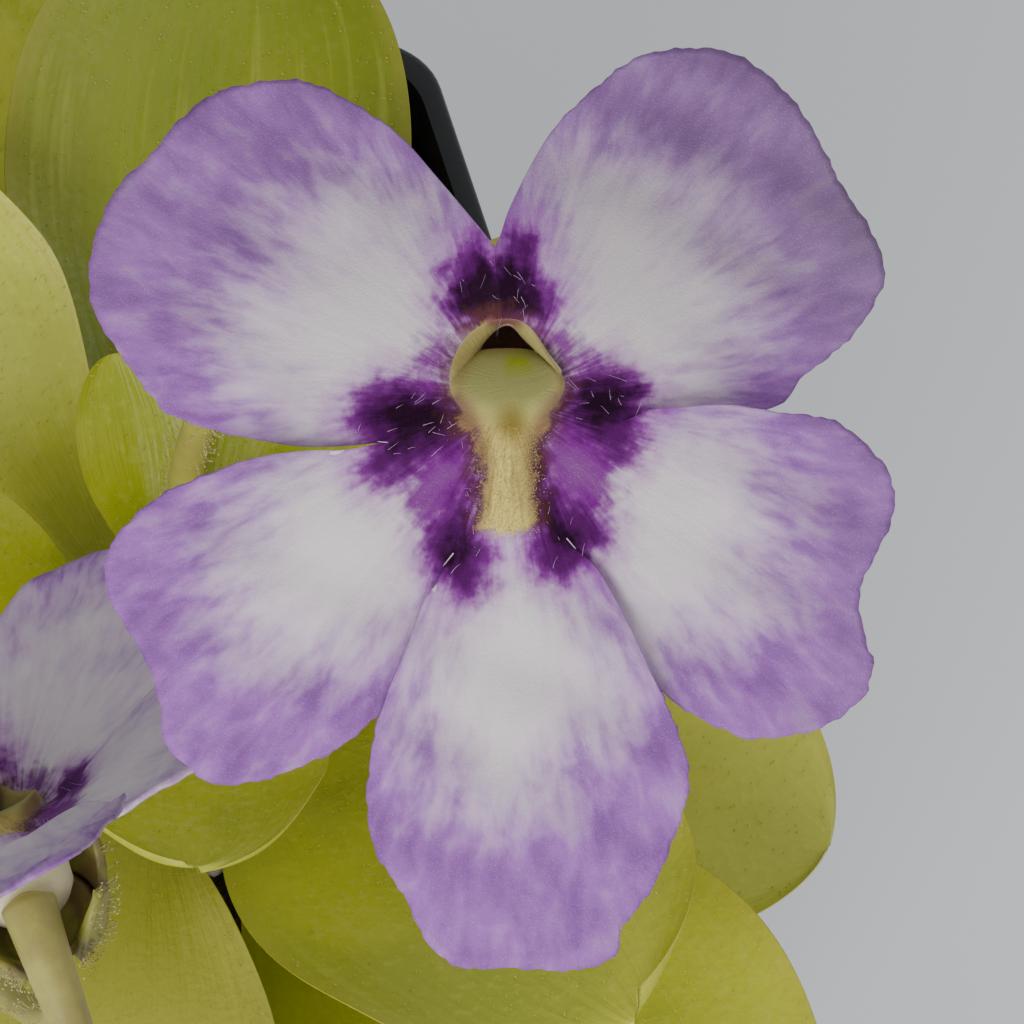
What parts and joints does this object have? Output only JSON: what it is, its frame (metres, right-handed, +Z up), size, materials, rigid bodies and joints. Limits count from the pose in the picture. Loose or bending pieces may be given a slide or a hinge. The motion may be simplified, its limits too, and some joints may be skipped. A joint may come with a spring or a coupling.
{
  "type": "potted butterwort plant in flower",
  "caption": "Flowering butterwort in a square nursery pot: a low rosette of broad sticky leaves, with five-lobed spurred flowers nodding on slender hairy stalks.",
  "frame": {"origin": "middle of the pot's underside", "axes": "+Z up through the plant, +Y and +X along the pot's sides, -Y the side that the flowers lean to"},
  "size_m": [0.0772, 0.1154, 0.1542],
  "materials": {
    "pot": "satin black, finely textured",
    "soil": "loose, granular, damp",
    "leaf": "greasy sheen",
    "crown": "soft sheen",
    "stalk": "soft, finely hairy",
    "calyx": "soft, finely hairy",
    "petal": "velvety, white centre with violet margins and deep purple throat",
    "pistil": "soft sheen",
    "stamen": "soft"
  },
  "bodies": {
    "root": {"pot": "pot", "soil": "soil", "crown": "crown", "leaf_01": "leaf", "leaf_02": "leaf", "leaf_03": "leaf", "leaf_04": "leaf", "leaf_05": "leaf", "leaf_06": "leaf", "leaf_07": "leaf", "leaf_08": "leaf", "leaf_09": "leaf", "leaf_10": "leaf", "leaf_11": "leaf", "leaf_12": "leaf", "leaf_13": "leaf", "leaf_14": "leaf", "leaf_15": "leaf", "leaf_16": "leaf", "flower_1_stalk": "stalk", "flower_1_calyx": "calyx", "flower_1_corolla": "petal", "flower_1_pistil": "pistil", "flower_1_stamen_left": "stamen", "flower_1_stamen_right": "stamen", "flower_2_stalk": "stalk", "flower_2_calyx": "calyx", "flower_2_corolla": "petal", "flower_2_pistil": "pistil", "flower_2_stamen_left": "stamen", "flower_2_stamen_right": "stamen"}
  },
  "joints": []
}
